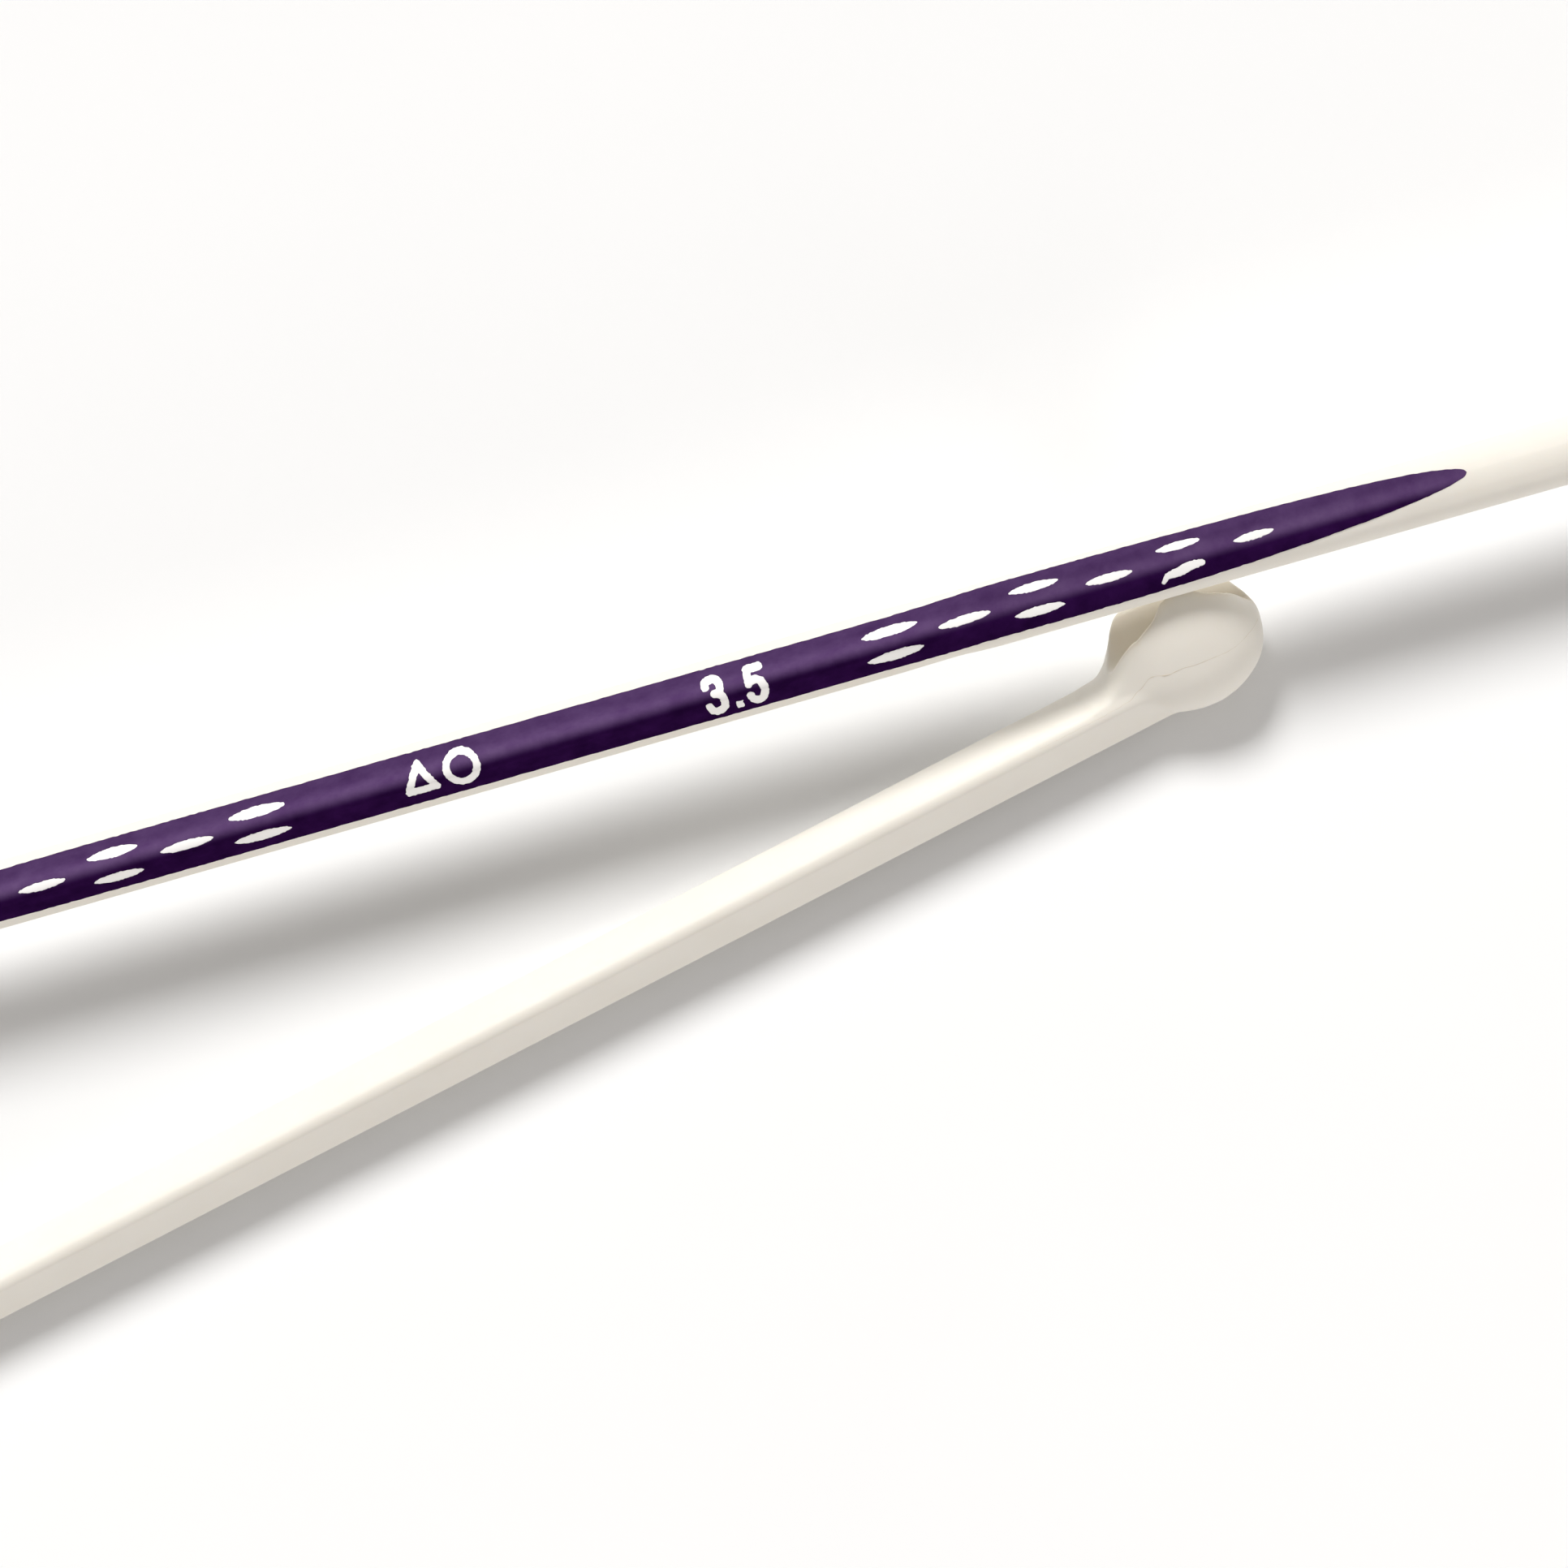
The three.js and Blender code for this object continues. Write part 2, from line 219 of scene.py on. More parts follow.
def triangle_distance(y, z):
    """Signed distance to the shaft's section, whose flat faces +Z."""
    corners = [(SIDE / 2, CORNER_REACH / 2), (-SIDE / 2, CORNER_REACH / 2), (0.0, -CORNER_REACH)]
    nearest = np.full(np.broadcast(y, z).shape, np.inf)
    plane = np.full(nearest.shape, -np.inf)
    for (y0, z0), (y1, z1) in zip(corners, corners[1:] + corners[:1]):
        ey, ez = y1 - y0, z1 - z0
        t = np.clip(((y - y0) * ey + (z - z0) * ez) / SIDE**2, 0, 1)
        nearest = np.minimum(nearest, np.hypot(y - y0 - t * ey, z - z0 - t * ez))
        plane = np.maximum(plane, ((y - y0) * ez - (z - z0) * ey) / SIDE)
    return np.where(plane > 0, nearest, plane) - CORNER_RADIUS


# ---- the head, as a signed distance that is meshed further down ----
HEAD_X, HEAD_VALUES = smooth_table(HEAD_STATIONS)
END_SLOPE = 5.4  # how fast the squared half width grows from the far end


def head_field(x, y, z):
    """Below zero inside the knob."""
    widest, half, bottom, top, square = [np.interp(x, HEAD_X, column) for column in HEAD_VALUES.T]
    up = z - widest
    squash = np.where(up > 0, half / (top - widest), half / (widest - bottom))
    power = np.where(up > 0, square, 2.0)
    reach = (np.abs(y) ** power + np.abs(up * squash) ** power) ** (2 / power)
    squared_half = np.where(x > HEAD_X[-1], -END_SLOPE * x, half**2)
    return reach - squared_half


def head_distance(x, y, z):
    """The knob's field as a rough signed distance, faded out towards the shaft."""
    step = 0.004
    value = head_field(x, y, z)
    gx = (head_field(x + step, y, z) - value) / step
    gy = (head_field(x, y + step, z) - value) / step
    gz = (head_field(x, y, z + step) - value) / step
    steepness = np.sqrt(gx**2 + gy**2 + gz**2)
    return value / np.maximum(steepness, 1.0) + 0.4 * np.maximum(KNOB_START - x, 0)


def slot_distance(x, y, z):
    """The slot: a seat for a shaft held corner down, open at the top and flared at its mouth."""
    flare = np.interp(x, [row[0] for row in SLOT_FLARE], [row[1] for row in SLOT_FLARE])
    across = y / (1 + flare * np.maximum(z - SLOT_SEAT, 0) / 3.2)
    middle = SLOT_SEAT + CORNER_REACH + CORNER_RADIUS + SLOT_CLEARANCE
    seat = triangle_distance(across, z - middle) - SLOT_CLEARANCE
    lips = np.maximum(np.abs(across) - SLOT_LIP_HALF, middle - z)
    return smooth_min(seat, lips, 0.2)


def needle_distance(x, y, z):
    """Shaft and head joined with a fillet, with the slot cut out."""
    shaft = np.maximum(triangle_distance(y, z), x - SHAFT_END)
    body = smooth_min(shaft, head_distance(x, y, z), SEAM_BLEND)
    return -smooth_min(-body, slot_distance(x, y, z), RIM_BLEND)


def gradient(points, step=0.004):
    columns = []
    for axis in range(3):
        offset = np.zeros(3)
        offset[axis] = step
        ahead, behind = points + offset, points - offset
        columns.append((needle_distance(*ahead.T) - needle_distance(*behind.T)) / (2 * step))
    return np.stack(columns, 1)


CUBE = np.array([(i, j, k) for i in (0, 1) for j in (0, 1) for k in (0, 1)])
CUBE_EDGES = [(a, b) for a in range(8) for b in range(a + 1, 8) if np.abs(CUBE[a] - CUBE[b]).sum() == 1]


def surface_net(distance, low, high, step):
    """Quads over the zero surface of a distance, and the grid cell of each point."""
    axes = [np.arange(a, b + step, step) for a, b in zip(low, high)]
    values = distance(*np.meshgrid(*axes, indexing="ij"))
    inside = values < 0
    cells = np.array(values.shape) - 1
    count = np.zeros(cells, int)
    for corner in CUBE:
        count += inside[tuple(slice(c, c + n) for c, n in zip(corner, cells))]
    active = (count > 0) & (count < 8)
    number = np.full(cells, -1)
    number[active] = np.arange(active.sum())
    cell = np.argwhere(active)
    corner_values = np.stack([values[tuple((cell + corner).T)] for corner in CUBE], 1)
    total, hits = np.zeros((len(cell), 3)), np.zeros(len(cell))
    for a, b in CUBE_EDGES:
        va, vb = corner_values[:, a], corner_values[:, b]
        crossing = (va < 0) != (vb < 0)
        share = np.where(crossing, va / np.where(crossing, va - vb, 1), 0)[:, None]
        total += crossing[:, None] * (CUBE[a] + share * (CUBE[b] - CUBE[a]))
        hits += crossing
    points = np.array(low) + step * (cell + total / hits[:, None])
    quads = []
    for axis in range(3):
        side, other = (axis + 1) % 3, (axis + 2) % 3
        first = np.moveaxis(inside, axis, 0)[:-1]
        second = np.moveaxis(inside, axis, 0)[1:]
        place = np.argwhere(np.moveaxis(first != second, 0, axis))
        keep = (place[:, side] > 0) & (place[:, other] > 0)
        keep &= (place[:, side] < cells[side]) & (place[:, other] < cells[other])
        place = place[keep]
        back_side, back_other = np.zeros(3, int), np.zeros(3, int)
        back_side[side], back_other[other] = 1, 1
        corners = [place, place - back_side, place - back_side - back_other, place - back_other]
        quad = np.stack([number[tuple(c.T)] for c in corners], 1)
        outwards = inside[tuple(place.T)]
        quads.append(np.where(outwards[:, None], quad, quad[:, ::-1]))
    return points, np.concatenate(quads), cell


def head_mesh():
    low = (NECK_START, -3.2, -2.6)
    high = (0.25, 3.2, 6.3)
    points, quads, cell = surface_net(needle_distance, low, high, HEAD_STEP)
    for _ in range(3):
        slope = gradient(points)
        value = needle_distance(*points.T)
        move = slope * (value / np.maximum((slope**2).sum(1), 0.3))[:, None]
        points -= np.clip(move, -0.3 * HEAD_STEP, 0.3 * HEAD_STEP)
    rim = np.flatnonzero(cell[:, 0] == 0)
    points[rim, 0] = NECK_START + 0.5 * HEAD_STEP
    return points, quads, rim


def ring_angle(points):
    return np.arctan2(-points[:, 1], points[:, 2]) % (2 * math.pi)


def zip_rings(left, left_angles, right, right_angles):
    """Triangles between two rings of point numbers, the left one nearer the needle's point."""
    left_order, right_order = np.argsort(left_angles), np.argsort(right_angles)
    left, left_angles = left[left_order], left_angles[left_order]
    right, right_angles = right[right_order], right_angles[right_order]
    triangles, i, j = [], 0, 0
    while i < len(left) or j < len(right):
        next_left = left_angles[i + 1] if i + 1 < len(left) else left_angles[0] + 2 * math.pi
        next_right = right_angles[j + 1] if j + 1 < len(right) else right_angles[0] + 2 * math.pi
        here, there = left[i % len(left)], right[j % len(right)]
        if i < len(left) and (j >= len(right) or next_left <= next_right):
            triangles.append((here, left[(i + 1) % len(left)], there))
            i += 1
        else:
            triangles.append((here, right[(j + 1) % len(right)], there))
            j += 1
    return triangles


def needle_mesh():
    """The whole moulding as one closed surface."""
    rings = shaft_rings()
    count, around = rings.shape[:2]
    shaft_points = rings.reshape(-1, 3)
    faces = []
    for ring in range(count - 1):
        for k in range(around):
            a, b = ring * around + k, ring * around + (k + 1) % around
            faces.append((a, b, b + around, a + around))
    end = len(shaft_points)
    head_points, quads, rim = head_mesh()
    faces += [tuple(quad) for quad in (quads + end).tolist()]
    last = np.arange((count - 1) * around, count * around)
    faces += zip_rings(last, ring_angle(rings[-1]), rim + end, ring_angle(head_points[rim]))
    faces.append(tuple(range(around))[::-1])
    return np.concatenate([shaft_points, head_points]), faces


# ---- the mould's parting line, a fine bead of flash along both sides ----
def side_point(x, height):
    """Half width of the needle at that height."""
    y = np.linspace(0.6, 3.1, 500)
    value = needle_distance(np.full(500, x), y, np.full(500, height))
    outside = np.flatnonzero(value > 0)
    first = outside[0]
    share = value[first - 1] / (value[first - 1] - value[first])
    return y[first - 1] + share * (y[first] - y[first - 1])


def parting_bead():
    """A thin lozenge-section ridge that follows the parting line round the head."""
    table_x, table = smooth_table(PARTING)
    xs = np.concatenate([np.linspace(-13.8, -9.5, 60), np.linspace(-9.45, -0.3, 260)])
    heights = np.interp(xs, table_x, table[:, 0])
    heights = heights + 0.035 * lattice_noise(xs * 2.3, np.zeros_like(xs), 5)
    path = np.array([(x, side_point(x, h), h) for x, h in zip(xs, heights)])
    size = 0.015 + 0.007 * lattice_noise(xs * 5.0, np.ones_like(xs), 7)
    size *= np.interp(xs, [row[0] for row in FLASH_SIZE], [row[1] for row in FLASH_SIZE])
    size += 0.03 * np.exp(-((xs - FLASH_LUMP) / 0.16) ** 2)
    vertices, faces = [], []
    for sign in (1, -1):
        first = len(vertices)
        normal = gradient(path)
        normal /= np.linalg.norm(normal, axis=1)[:, None]
        along = np.gradient(path, axis=0)
        along /= np.linalg.norm(along, axis=1)[:, None]
        across = np.cross(normal, along)
        for place, out, over, s in zip(path, normal, across, size):
            for u, v in ((-1.3, -0.35), (-0.5, 0.35), (0.5, 0.35), (1.3, -0.35)):
                point = place + over * u * s + out * v * s
                vertices.append((point[0], sign * point[1], point[2]))
        for k in range(len(path) - 1):
            a = first + 4 * k
            for m in range(4):
                quad = (a + m, a + (m + 1) % 4, a + 4 + (m + 1) % 4, a + 4 + m)
                faces.append(quad if sign > 0 else quad[::-1])
        caps = [tuple(range(first, first + 4)), tuple(range(len(vertices) - 4, len(vertices)))]
        faces += [caps[0][::-1], caps[1]] if sign > 0 else [caps[0], caps[1][::-1]]
    return np.array(vertices), faces


# ---- the print ----
DASH_HALF_LENGTH = 1.55
DASH_HALF_HEIGHT = 0.255
DASH_ROWS = 0.64
DASH_PITCH = 3.93
FIRST_DASH = 17.23  # from the middle of the band
DASH_STEPS = 6
SMEARED_STEP = 4  # one dash there is printed badly
STEP_SHRINK = 0.055  # each step's dashes are this much shorter
DIGIT_STROKE = 0.21
DIGIT_PLACES = (7.55, 9.75)
POINT_PLACE = 8.68
PICTOGRAM_PLACE = -7.35
THREE = [
    (-0.42, 0.55), (-0.36, 0.74), (-0.2, 0.84), (0.05, 0.85), (0.27, 0.76), (0.36, 0.56), (0.34, 0.3),
    (0.2, 0.14), (-0.04, 0.09), (0.2, 0.03), (0.37, -0.13), (0.42, -0.4), (0.34, -0.68), (0.14, -0.84),
    (-0.12, -0.86), (-0.34, -0.75), (-0.44, -0.5),
]
FIVE = [
    (0.36, 0.84), (-0.3, 0.84), (-0.36, 0.1), (-0.2, 0.24), (0.04, 0.27), (0.28, 0.14), (0.4, -0.14),
    (0.38, -0.5), (0.22, -0.78), (-0.06, -0.87), (-0.32, -0.76), (-0.43, -0.5),
]


def stroke_distance(x, y, points, half_width):
    nearest = np.full(x.shape, np.inf)
    for (x0, y0), (x1, y1) in zip(points, points[1:]):
        ex, ey = x1 - x0, y1 - y0
        t = np.clip(((x - x0) * ex + (y - y0) * ey) / max(ex**2 + ey**2, 1e-9), 0, 1)
        nearest = np.minimum(nearest, np.hypot(x - x0 - t * ex, y - y0 - t * ey))
    return nearest - half_width


def dash_distance(x, y, scale):
    length, height = DASH_HALF_LENGTH * scale, DASH_HALF_HEIGHT * (0.4 + 0.6 * scale)
    along = np.clip(np.abs(x) / length, 0, 1)
    limit = height * (1 - along**2) ** 0.62
    return np.abs(y) - limit + np.maximum(np.abs(x) - length, 0)


def pictogram_distance(x, y):
    """A rounded triangle and a ring: the two sections of the shaft."""
    corners = [
        (-1.15 + 0.86 * math.sin(a), -0.16 + 0.92 * math.cos(a)) for a in (0, THIRD, 2 * THIRD, 3 * THIRD)
    ]
    triangle = stroke_distance(x, y, corners, 0.2)
    ring = np.abs(np.hypot(x - 1.12, y) - 0.8) - 0.2
    return np.minimum(triangle, ring)


def bare_distance(along, across):
    """Below zero where the print leaves the shaft bare. along grows towards the needle's point."""
    ragged_x = along + 0.035 * lattice_noise(along * 9, across * 10, 11)
    ragged_y = across + 0.024 * lattice_noise(along * 9 + 9, across * 10 + 3, 12)
    nearest = np.full(along.shape, np.inf)
    for sign in (1, -1):
        for step in range(DASH_STEPS):
            place = sign * (FIRST_DASH + DASH_PITCH * step)
            rows = (DASH_ROWS, -DASH_ROWS) if step % 2 == 0 else (0.0,)
            scale = 1.0 - STEP_SHRINK * step
            for row in rows:
                if sign == 1 and step == SMEARED_STEP and row < 0:
                    continue
                nearest = np.minimum(nearest, dash_distance(ragged_x - place, ragged_y - row, scale))
    # one dash is dragged down at one end
    place = FIRST_DASH + SMEARED_STEP * DASH_PITCH
    smear = [(-1.25, -0.98), (-0.95, -0.74), (-0.3, -0.7), (0.35, -0.56), (1.0, -0.56)]
    smear = [(place + dx, y) for dx, y in smear]
    taper = 0.06 + 0.16 * np.clip(1 - ((ragged_x - place) / 1.35) ** 2, 0, 1)
    nearest = np.minimum(nearest, stroke_distance(ragged_x, ragged_y, smear, 0.03) - taper)
    for shape, centre in zip((THREE, FIVE), DIGIT_PLACES):
        digit = [(px + centre, py - 0.06) for px, py in shape]
        nearest = np.minimum(nearest, stroke_distance(ragged_x, ragged_y, digit, DIGIT_STROKE))
    dot = np.maximum(np.abs(ragged_x - POINT_PLACE), np.abs(ragged_y + 0.88)) - 0.19
    nearest = np.minimum(nearest, dot)
    return np.minimum(nearest, pictogram_distance(ragged_x - PICTOGRAM_PLACE, ragged_y))


def band_half_width(along):
    share = np.clip((PRINT_HALF_LENGTH - np.abs(along)) / PRINT_LEAF, 0, 1)
    full = PRINT_HALF_WIDTH + PRINT_FAR_WIDENING * smoothstep(along, 16, 23)
    return full * np.sin(math.pi / 2 * share**0.51)


def print_lean(along):
    """Radians by which the print wanders off the shaft's corner on the round part."""
    return math.radians(8.2) * smoothstep(along, 14, 24) + math.radians(7.0) * smoothstep(along, 30, 49)


def ink_field(along, across):
    """Above zero where there is ink."""
    edge = band_half_width(along) - np.abs(across)
    edge = edge + 0.02 * lattice_noise(along * 4, across * 2 + 20, 13)
    edge = np.where(np.abs(along) > PRINT_HALF_LENGTH, -1, edge)
    return np.minimum(edge, bare_distance(along, across))


def mark_field(along, across):
    """Above zero in the white marks, which fill the openings in the ink."""
    return -bare_distance(along, across)


def print_columns():
    """Places along the band, close together where there are marks."""
    places = list(np.arange(-PRINT_HALF_LENGTH - 0.1, PRINT_HALF_LENGTH + 0.2, 0.35))
    marks = [(-9.6, -5.1), (6.8, 10.5)]
    for step in range(DASH_STEPS):
        middle = FIRST_DASH + DASH_PITCH * step
        marks += [(middle - 1.6, middle + 1.6), (-middle - 1.6, -middle + 1.6)]
    for low, high in marks:
        places += list(np.arange(low, high, 0.045))
    for end in (-PRINT_HALF_LENGTH, PRINT_HALF_LENGTH):
        places += list(end + np.sign(-end) * np.linspace(0, 3, 30))
    return np.unique(np.round(np.array(places), 3))


def print_mesh(field_at, lift_top):
    """A thin closed skin of print, cut where its field passes zero."""
    along = print_columns()
    angles = math.pi + np.linspace(-PRINT_SPAN, PRINT_SPAN, 117)
    along_grid, angle_grid = np.meshgrid(along, angles, indexing="ij")
    x = PRINT_CENTRE - along_grid
    radius = shaft_radius(x, angle_grid)
    across = -radius * np.sin(angle_grid - print_lean(along_grid))
    field = field_at(along_grid, across)

    def skin(lift):
        out = radius + lift
        return np.stack([x, -out * np.sin(angle_grid), out * np.cos(angle_grid)], -1).reshape(-1, 3)

    rows, columns = field.shape
    value = field.ravel()
    top, under = skin(lift_top), skin(-PRINT_DEPTH)
    points_top, points_under, made = list(top), list(under), {}

    def crossing(a, b):
        key = (min(a, b), max(a, b))
        if key not in made:
            share = value[key[0]] / (value[key[0]] - value[key[1]])
            share = min(max(share, 0.02), 0.98)
            made[key] = len(points_top)
            points_top.append(top[key[0]] + share * (top[key[1]] - top[key[0]]))
            points_under.append(under[key[0]] + share * (under[key[1]] - under[key[0]]))
        return made[key]

    faces, rims = [], []
    for i in range(rows - 1):
        base = i * columns
        for j in range(columns - 1):
            a, b, c, d = base + j, base + j + 1, base + columns + j + 1, base + columns + j
            signs = (value[a] > 0, value[b] > 0, value[c] > 0, value[d] > 0)
            if not any(signs):
                continue
            if all(signs):
                faces.append((a, d, c, b))
                continue
            for triangle in ((a, d, c), (a, c, b)):
                cut, edge_points = [], []
                for k in range(3):
                    here, there = triangle[k], triangle[(k + 1) % 3]
                    if value[here] > 0:
                        cut.append(here)
                    if (value[here] > 0) != (value[there] > 0):
                        point = crossing(here, there)
                        cut.append(point)
                        edge_points.append((point, value[here] > 0))
                if len(cut) >= 3:
                    faces.append(tuple(cut))
                if len(edge_points) == 2:
                    leaving = edge_points[0][0] if edge_points[0][1] else edge_points[1][0]
                    entering = edge_points[1][0] if edge_points[0][1] else edge_points[0][0]
                    rims.append((leaving, entering))
    count = len(points_top)
    faces += [tuple(k + count for k in reversed(face)) for face in list(faces)]
    faces += [(b, a, a + count, b + count) for a, b in rims]
    points = np.concatenate([np.array(points_top), np.array(points_under)])
    used = np.unique(np.concatenate([np.array(face) for face in faces]))
    renumber = np.full(len(points), -1)
    renumber[used] = np.arange(len(used))
    return points[used], [tuple(renumber[list(face)]) for face in faces]


# ---- placing ----
def rotation(axis, degrees):
    return np.array(Matrix.Rotation(math.radians(degrees), 4, axis))


def translation(x, y, z):
    return np.array(Matrix.Translation((x, y, z)))


def moved(points, matrix):
    return points @ matrix[:3, :3].T + matrix[:3, 3]


def lowest(points, low, high, matrix):
    """Place along the needle, and height, of the lowest point between two places."""
    part = points[(points[:, 0] >= low) & (points[:, 0] <= high)]
    heights = moved(part, matrix)[:, 2]
    index = heights.argmin()
    return part[index, 0], heights[index]


def lower_placing(points):
    """On its head and its round end, with one flat side towards the table."""
    roll = rotation("X", LOWER_ROLL)
    head_x, head_z = lowest(points, -12, 0, roll)
    point_x, point_z = lowest(points, -LENGTH, -LENGTH + ROUND_FROM_POINT, roll)
    slope = math.atan2(head_z - point_z, head_x - point_x)
    tilt = rotation("Y", math.degrees(slope)) @ roll
    return translation(0, 0, -lowest(points, -LENGTH, 0, tilt)[1]) @ tilt


def upper_placing(points, height):
    """Across the lower head, with its own head on the table."""
    roll = rotation("X", UPPER_ROLL)
    reach = LENGTH - UPPER_CROSSING_FROM_POINT
    head_x, head_z = lowest(points, -12, 0, roll)
    slope = math.degrees(math.atan2(height + head_z, reach + head_x))
    turn = rotation("Z", UPPER_YAW) @ rotation("Y", slope)
    return translation(*CROSSING, height) @ turn @ translation(reach, 0, 0) @ roll


def placings(points):
    """Both needles where the CAD has them."""
    lower = lower_placing(points)
    low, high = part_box("upper_needle")
    wanted = high.z / MM
    near, far = GAUGE, 4 * GAUGE
    for _ in range(30):
        height = (near + far) / 2
        top = moved(points, upper_placing(points, height))[:, 2].max()
        near, far = (height, far) if top < wanted else (near, height)
    upper = upper_placing(points, height)
    head_end = moved(points, lower)[:, 0].max()
    lower_low, lower_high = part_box("lower_needle")
    sides = moved(points, lower)[:, 1]
    shift = translation(
        lower_high.x / MM - head_end,
        (lower_low.y + lower_high.y) / (2 * MM) - (sides.min() + sides.max()) / 2,
        0,
    )
    return {"lower": shift @ lower, "upper": shift @ upper}


def make_object(name, points, faces, material, tone=None):
    mesh = bpy.data.meshes.new(name)
    mesh.from_pydata((points * MM).tolist(), [], faces)
    if tone is not None:
        values = mesh.attributes.new("tone", "FLOAT", "POINT").data
        values.foreach_set("value", tone.astype(np.float32))
    mesh.validate()
    mesh.update()
    mesh.shade_smooth()
    mesh.materials.append(material)
    piece = bpy.data.objects.new(name, mesh)
    bpy.context.scene.collection.objects.link(piece)
    return piece


# ---- materials ----
class Nodes:
    """Adds and links shader nodes in few words."""

    def __init__(self, name):
        self.material = bpy.data.materials.new(name)
        self.material.use_nodes = True
        self.tree = self.material.node_tree
        self.shader = self.tree.nodes["Principled BSDF"]

    def add(self, kind, **settings):
        node = self.tree.nodes.new(kind)
        for name, value in settings.items():
            if name in node.inputs:
                node.inputs[name].default_value = value
            else:
                setattr(node, name, value)
        return node

    def link(self, source, target):
        self.tree.links.new(source, target)

    def noise(self, scale, detail=3.0, roughness=0.55):
        node = self.add("ShaderNodeTexNoise", Scale=scale, Detail=detail, Roughness=roughness)
        coordinates = self.add("ShaderNodeTexCoord")
        self.link(coordinates.outputs["Object"], node.inputs["Vector"])
        return node.outputs["Fac"]

    def ramp(self, source, stops):
        node = self.add("ShaderNodeValToRGB")
        elements = node.color_ramp.elements
        for index, (place, colour) in enumerate(stops):
            element = elements[index] if index < 2 else elements.new(place)
            element.position = place
            element.color = (*colour, 1)
        self.link(source, node.inputs["Fac"])
        return node.outputs["Color"]

    def blend(self, source, base, other):
        """Goes from one colour to another along the tone stored on the mesh."""
        node = self.add("ShaderNodeMix", data_type="RGBA")
        self.link(source, node.inputs["Factor"])
        self.link(base, node.inputs[6])
        self.link(other, node.inputs[7])
        return node.outputs[2]

    def tone(self):
        return self.add("ShaderNodeAttribute", attribute_name="tone").outputs["Fac"]

    def bump(self, source, strength, distance):
        node = self.add("ShaderNodeBump", Strength=strength, Distance=distance)
        self.link(source, node.inputs["Height"])
        self.link(node.outputs["Normal"], self.shader.inputs["Normal"])


def ivory_material(name, warm, shade):
    nodes = Nodes(name)
    tone = nodes.noise(260.0, 4.0)
    colour = nodes.ramp(tone, [(0.3, shade), (0.7, warm)])
    # painted shade for the inside of the slot: a darker tan, mixed in by the tone stored on the mesh
    painted_slot_shade_colour = nodes.ramp(tone, [(0.3, (0.7, 0.61, 0.46)), (0.7, (0.78, 0.7, 0.55))])
    nodes.link(nodes.blend(nodes.tone(), colour, painted_slot_shade_colour), nodes.shader.inputs["Base Color"])
    grain = nodes.noise(5200.0, 2.0)
    gloss = nodes.ramp(nodes.noise(900.0), [(0.3, (0.46,) * 3), (0.7, (0.58,) * 3)])
    nodes.link(gloss, nodes.shader.inputs["Roughness"])
    nodes.shader.inputs["Subsurface Weight"].default_value = 0.12
    nodes.shader.inputs["Subsurface Radius"].default_value = (1.0, 0.8, 0.55)
    nodes.shader.inputs["Subsurface Scale"].default_value = 0.0008
    nodes.shader.inputs["Specular IOR Level"].default_value = 0.3
    nodes.bump(grain, 0.12, 0.00002)
    return nodes.material


def ink_material():
    nodes = Nodes("violet_ink")
    blotch = nodes.noise(700.0, 5.0, 0.62)
    dark = nodes.ramp(blotch, [(0.3, (0.014, 0.002, 0.03)), (0.7, (0.028, 0.005, 0.056))])
    # painted sheen: a lighter, greyer violet for the ink where the key light falls on it
    painted_sheen_colour = nodes.ramp(blotch, [(0.3, (0.085, 0.04, 0.13)), (0.7, (0.12, 0.068, 0.17))])
    nodes.link(nodes.blend(nodes.tone(), dark, painted_sheen_colour), nodes.shader.inputs["Base Color"])
    gloss = nodes.ramp(nodes.noise(1500.0, 4.0), [(0.3, (0.4,) * 3), (0.7, (0.55,) * 3)])
    nodes.link(gloss, nodes.shader.inputs["Roughness"])
    nodes.shader.inputs["Specular IOR Level"].default_value = 0.0
    nodes.bump(nodes.noise(3200.0, 3.0), 0.25, 0.00003)
    return nodes.material


def white_material():
    nodes = Nodes("white_print")
    colour = nodes.ramp(nodes.noise(900.0, 4.0), [(0.3, (0.955, 0.95, 0.945)), (0.7, (0.98, 0.978, 0.975))])
    nodes.link(colour, nodes.shader.inputs["Base Color"])
    nodes.shader.inputs["Roughness"].default_value = 0.6
    nodes.shader.inputs["Specular IOR Level"].default_value = 0.2
    nodes.bump(nodes.noise(3200.0, 3.0), 0.15, 0.00002)
    return nodes.material


def floor_material():
    nodes = Nodes("table_white")
    tone = nodes.noise(40.0, 2.0)
    colour = nodes.ramp(tone, [(0.3, (0.962, 0.975, 0.99)), (0.7, (0.972, 0.984, 0.998))])
    nodes.link(colour, nodes.shader.inputs["Base Color"])
    nodes.shader.inputs["Roughness"].default_value = 0.9
    nodes.shader.inputs["Specular IOR Level"].default_value = 0.0
    return nodes.material


def painted_slot_shade(points):
    """How much painted shade darkens the inner walls of the slot to a tan."""
    near_slot = 1 - smoothstep(np.abs(slot_distance(*points.T)), 0.02, 0.3)
    return 0.45 * near_slot * smoothstep(points[:, 0], -9.0, -7.4)


def painted_ink_sheen(points):
    """How much painted sheen lightens the ink: most just past the shaft's corner, on the side that faces
    +Y, towards the key light.
    """
    rise = points[:, 1]
    return smoothstep(rise, -0.32, 0.3) * (1 - 0.45 * smoothstep(rise, 0.3, 1.0))


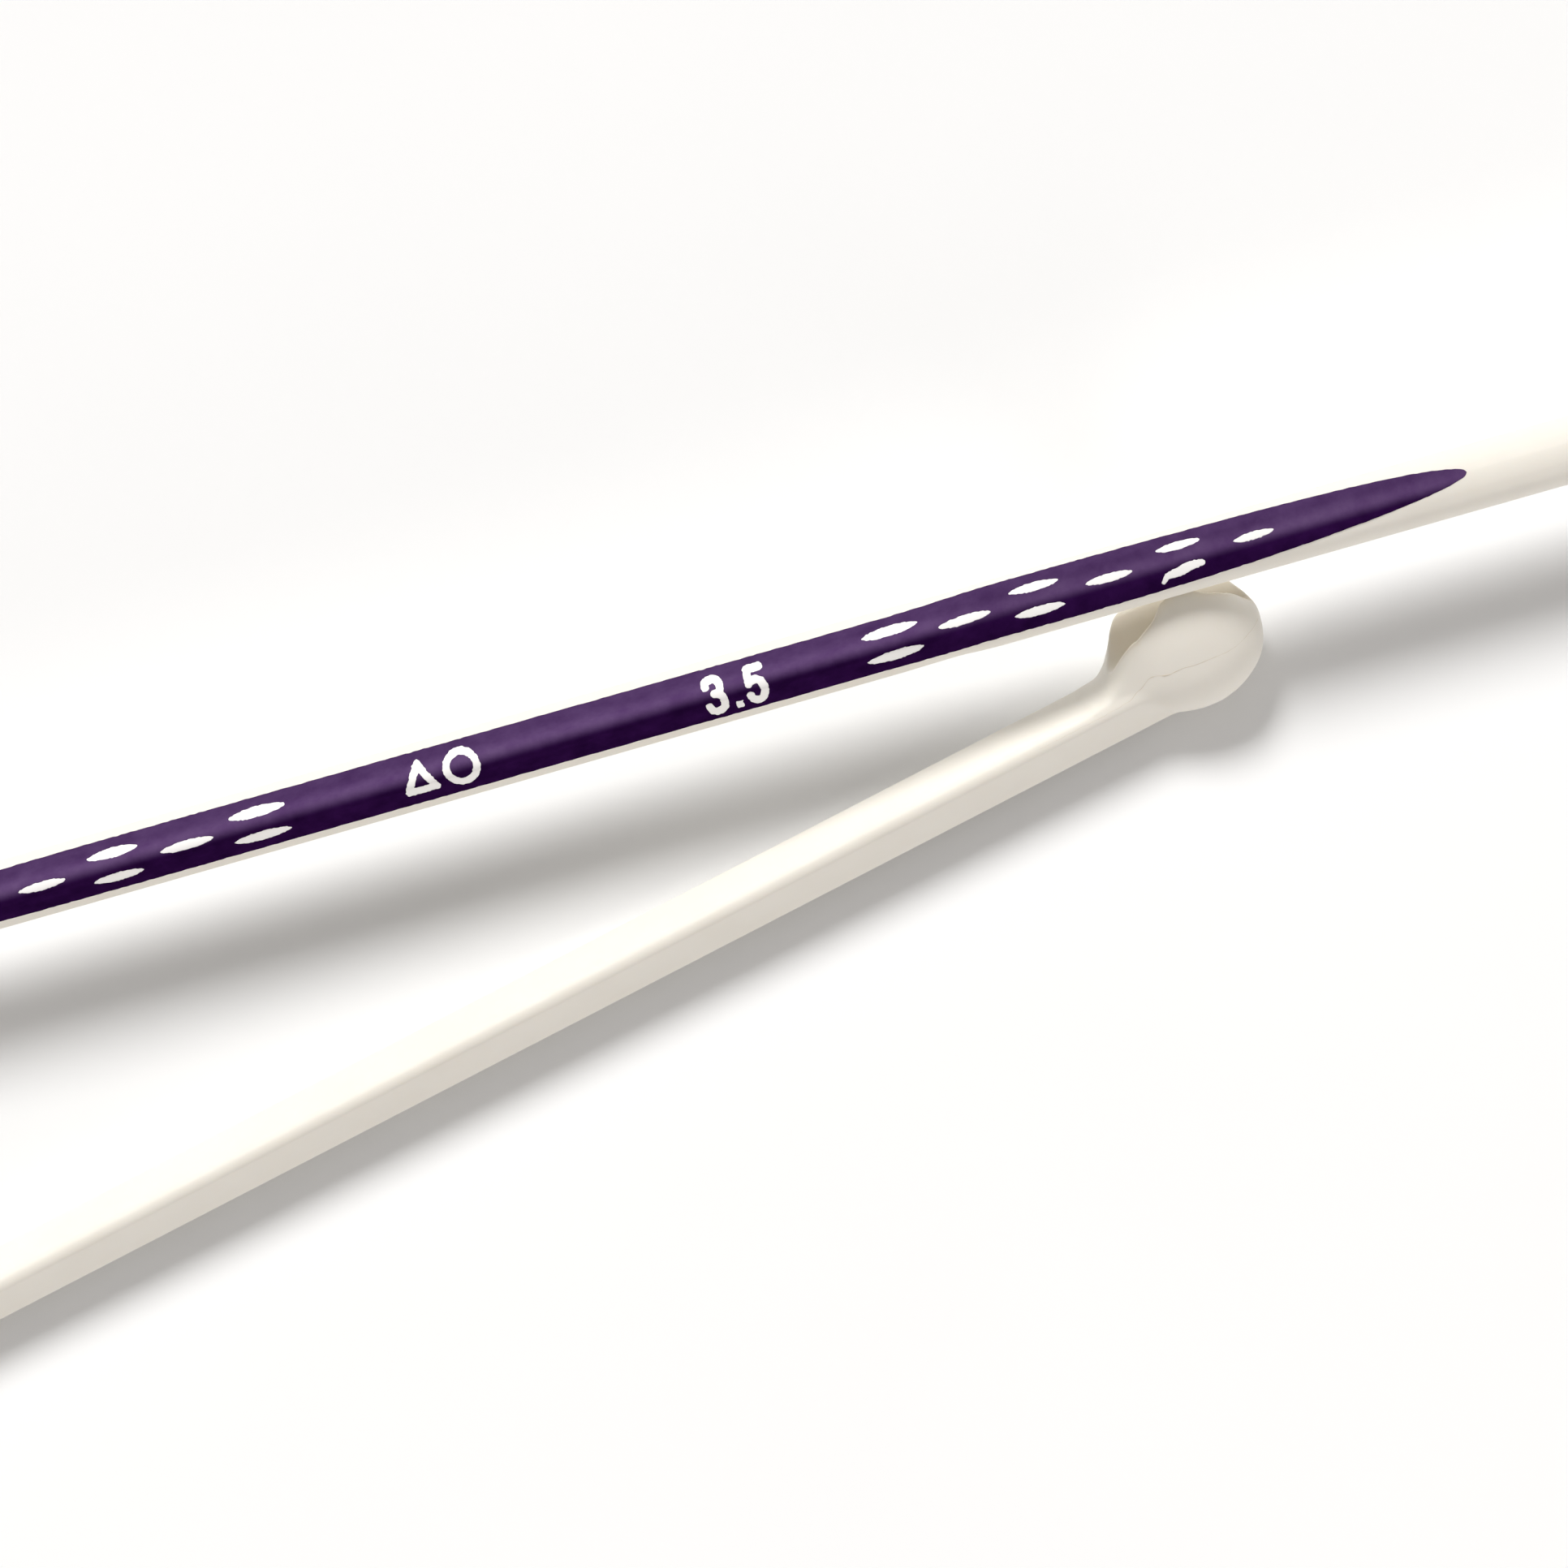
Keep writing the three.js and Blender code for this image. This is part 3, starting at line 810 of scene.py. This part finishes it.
# ---- build ----
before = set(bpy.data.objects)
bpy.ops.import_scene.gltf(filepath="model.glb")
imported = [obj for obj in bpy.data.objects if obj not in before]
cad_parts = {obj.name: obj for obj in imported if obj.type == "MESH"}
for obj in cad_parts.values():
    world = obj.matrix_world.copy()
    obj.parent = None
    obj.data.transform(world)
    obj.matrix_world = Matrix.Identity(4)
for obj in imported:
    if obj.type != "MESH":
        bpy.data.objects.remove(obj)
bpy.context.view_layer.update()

ivory = ivory_material("ivory_polymer", (0.855, 0.828, 0.765), (0.83, 0.8, 0.733))
# the flash bead is real; its darker colour is painted shade along the parting line
flash = ivory_material("flash_polymer_painted_shade", (0.76, 0.69, 0.58), (0.68, 0.6, 0.48))
white = white_material()
ink = ink_material()

needle_points, needle_faces = needle_mesh()
# the moulding's tone is painted shade inside the slot
needle_painted_shade = painted_slot_shade(needle_points)
bead_points, bead_faces = parting_bead()
print_points, print_faces = print_mesh(ink_field, INK_HEIGHT)
mark_points, mark_faces = print_mesh(mark_field, MARK_HEIGHT)
# the print's tone is painted sheen
print_painted_sheen = painted_ink_sheen(print_points)
for body, placing in placings(needle_points).items():
    shaft_points = moved(needle_points, placing)
    shaft = make_object(f"{body}_needle_moulding", shaft_points, needle_faces, ivory, needle_painted_shade)
    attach(shaft, body)
    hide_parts(f"{body}_needle")
    bead = make_object(f"{body}_needle_flash", moved(bead_points, placing), bead_faces, flash)
    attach(bead, body)
    band = make_object(f"{body}_needle_print", moved(print_points, placing), print_faces, ink, print_painted_sheen)
    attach(band, body)
    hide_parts(f"{body}_print_band")
    marks = make_object(f"{body}_needle_marks", moved(mark_points, placing), mark_faces, white)
    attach(marks, body)

# ---- floor, light and camera ----
FLOOR_HALF = 1.2
FLOOR_HEIGHT = -0.00002  # just under the needles, so that nothing shares a surface with it
floor_mesh = bpy.data.meshes.new("table")
floor_signs = [(-1, -1), (1, -1), (1, 1), (-1, 1)]
floor_corners = [(FLOOR_HALF * x, FLOOR_HALF * y, FLOOR_HEIGHT) for x, y in floor_signs]
floor_mesh.from_pydata(floor_corners, [], [(0, 1, 2, 3)])
floor_mesh.materials.append(floor_material())
floor = bpy.data.objects.new("table", floor_mesh)
bpy.context.scene.collection.objects.link(floor)

IMAGE_RIGHT = Vector((0.8886, -0.4586, 0))  # directions on the table, from the camera's roll
IMAGE_UP = Vector((0.4586, 0.8886, 0))
SHADOW_WAY = (IMAGE_RIGHT * 0.469 - IMAGE_UP * 0.883).normalized()


def add_sun(name, way, rise, energy, angle, colour):
    """A lamp whose light travels along `way` on the table while dropping by `rise`."""
    data = bpy.data.lights.new(name, "SUN")
    data.energy = energy
    data.angle = math.radians(angle)
    data.color = colour
    lamp = bpy.data.objects.new(name, data)
    lamp.rotation_mode = "QUATERNION"
    lamp.rotation_quaternion = (-way + Vector((0, 0, rise))).to_track_quat("Z", "Y")
    bpy.context.scene.collection.objects.link(lamp)


add_sun("key", SHADOW_WAY, 1.03, 2.75, 17, (1.0, 0.985, 0.965))
add_sun("broad", SHADOW_WAY, 2.2, 0.35, 60, (1.0, 0.97, 0.94))
add_sun("fill", -SHADOW_WAY, 0.2, 1.34, 40, (1.0, 0.96, 0.93))

world = bpy.data.worlds.new("studio")
world.use_nodes = True
background = world.node_tree.nodes["Background"]
background.inputs["Color"].default_value = (1.0, 0.95, 0.905, 1)
background.inputs["Strength"].default_value = 0.22
bpy.context.scene.world = world
bpy.context.scene.view_settings.view_transform = "Standard"

CAMERA_HEIGHT = 0.3
SENSOR = 36.0
VIEW_WIDTH = 0.0845
low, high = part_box("lower_needle")
head_end = Vector((high.x, (low.y + high.y) / 2, 0))
VIEW_OFFSET = Vector((-0.02673, 0.00282, 0))  # from the lower head to the middle of the picture
target = head_end + VIEW_OFFSET
camera_data = bpy.data.cameras.new("camera")
camera_data.sensor_width = SENSOR
camera_data.lens = SENSOR * CAMERA_HEIGHT / VIEW_WIDTH
camera_data.clip_end = 10
camera = bpy.data.objects.new("camera", camera_data)
turn = Matrix((IMAGE_RIGHT, IMAGE_UP, Vector((0, 0, 1)))).transposed().to_4x4()
camera.matrix_world = Matrix.Translation(target + Vector((0, 0, CAMERA_HEIGHT))) @ turn
bpy.context.scene.collection.objects.link(camera)
bpy.context.scene.camera = camera
